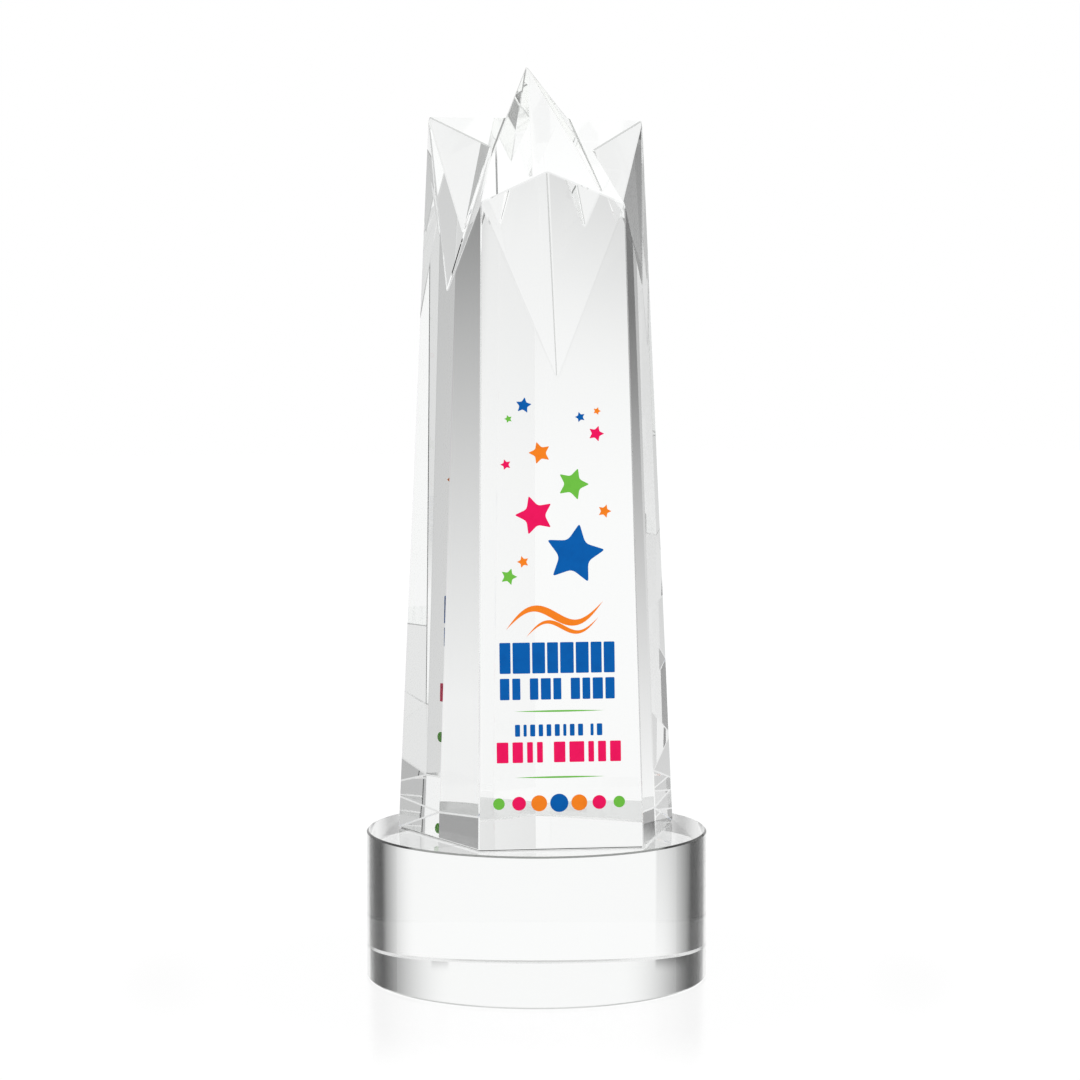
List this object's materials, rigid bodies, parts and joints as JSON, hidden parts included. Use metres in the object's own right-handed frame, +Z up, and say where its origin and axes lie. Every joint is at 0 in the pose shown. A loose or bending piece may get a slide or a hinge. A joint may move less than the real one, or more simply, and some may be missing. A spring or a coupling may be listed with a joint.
{
  "type": "star trophy",
  "caption": "Tapered five-sided crystal column with a slanted, notched star top, bonded to a round crystal base and printed in colour on its front face.",
  "frame": {"origin": "middle of the round base's underside, on the surface it stands on", "axes": "+Z up along the column, -Y towards the printed front face, +X to the viewer's right from the front"},
  "size_m": [0.0888, 0.0888, 0.2387],
  "materials": {
    "crystal": "clear optical crystal, polished, with fine ground edges",
    "adhesive": "clear cured adhesive film",
    "ink_blue": "printed ink, satin",
    "ink_pink": "printed ink, satin",
    "ink_orange": "printed ink, satin",
    "ink_green": "printed ink, satin"
  },
  "bodies": {
    "root": {"round_base": "crystal", "star_column": "crystal", "bond_film": "adhesive", "ink_star_01": "ink_blue", "ink_star_02": "ink_green", "ink_star_03": "ink_blue", "ink_star_04": "ink_orange", "ink_star_05": "ink_pink", "ink_star_06": "ink_orange", "ink_star_07": "ink_pink", "ink_star_08": "ink_green", "ink_star_09": "ink_orange", "ink_star_10": "ink_pink", "ink_star_11": "ink_blue", "ink_star_12": "ink_orange", "ink_star_13": "ink_green", "ink_swash_1": "ink_orange", "ink_swash_2": "ink_orange", "ink_title_bar": "ink_blue", "ink_subtitle_bar_1": "ink_blue", "ink_subtitle_bar_2": "ink_blue", "ink_subtitle_bar_3": "ink_blue", "ink_line_bar_1": "ink_blue", "ink_line_bar_2": "ink_blue", "ink_name_bar_1": "ink_pink", "ink_name_bar_2": "ink_pink", "ink_rule_upper": "ink_green", "ink_rule_lower": "ink_green", "ink_dot_1": "ink_green", "ink_dot_2": "ink_pink", "ink_dot_3": "ink_orange", "ink_dot_4": "ink_blue", "ink_dot_5": "ink_orange", "ink_dot_6": "ink_pink", "ink_dot_7": "ink_green"}
  },
  "joints": []
}
